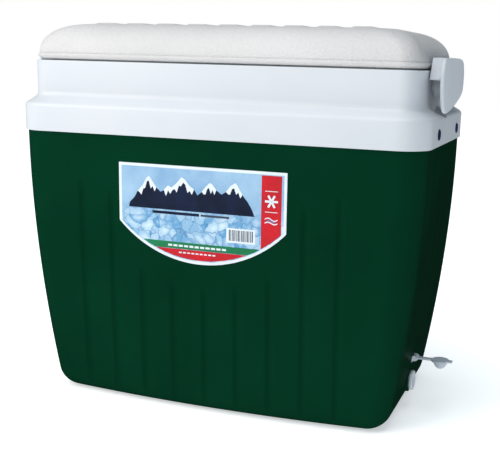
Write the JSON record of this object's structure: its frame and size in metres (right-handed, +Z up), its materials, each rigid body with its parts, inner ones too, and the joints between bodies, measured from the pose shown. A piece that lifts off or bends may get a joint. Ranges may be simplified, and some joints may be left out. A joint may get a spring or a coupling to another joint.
{
  "type": "portable picnic cooler",
  "caption": "Tapered insulated picnic cooler with fluted green tub, white collar, pillow lid, swinging bail handle and a plugged side drain.",
  "frame": {"origin": "middle of the tub's flat underside, on the floor", "axes": "+Z up, +X across the width towards the drain side, -Y towards the labelled front"},
  "size_m": [0.4989, 0.258, 0.43],
  "materials": {
    "green_shell": "satin moulded, dark green",
    "white_trim": "satin moulded, white",
    "white_lid": "fine pebbled, white",
    "white_liner": "smooth, white",
    "foam": "expanded foam",
    "navy_plug": "satin, dark blue",
    "grey_trim": "satin, light grey",
    "seal": "matt, dark grey",
    "label": "printed film, semi-gloss"
  },
  "bodies": {
    "chest": {"outer_shell": "green_shell", "body_foam": "foam", "inner_liner": "white_liner", "collar": "white_trim", "pivot_pin_right": "white_trim", "pivot_pin_left": "white_trim", "collar_plug_right_front": "navy_plug", "collar_plug_right_back": "navy_plug", "collar_plug_left_front": "navy_plug", "collar_plug_left_back": "navy_plug", "front_label": "label", "drain_gasket": "seal", "drain_spout": "grey_trim", "drain_nut": "grey_trim", "strap_anchor": "grey_trim"},
    "handle": {"handle_bail": "white_trim"},
    "lid": {"lid_cover": "white_lid", "lid_pan": "white_liner", "lid_foam": "foam", "lid_seal": "seal"},
    "plug": {"drain_plug": "grey_trim"}
  },
  "joints": [
    {"name": "handle_swing", "type": "hinge", "parent": "chest", "child": "handle", "pos_m": [0, -0.02, 0.372], "axis": [1, 0, 0], "range_deg": [0, 90]},
    {"name": "lid_lift", "type": "slide", "parent": "chest", "child": "lid", "axis": [0, 0, 1], "range_m": [0, 0.22]},
    {"name": "plug_swing", "type": "hinge", "parent": "chest", "child": "plug", "pos_m": [0.2174, -0.014, 0.0625], "axis": [0, 1, 0], "range_deg": [0, 90]}
  ]
}
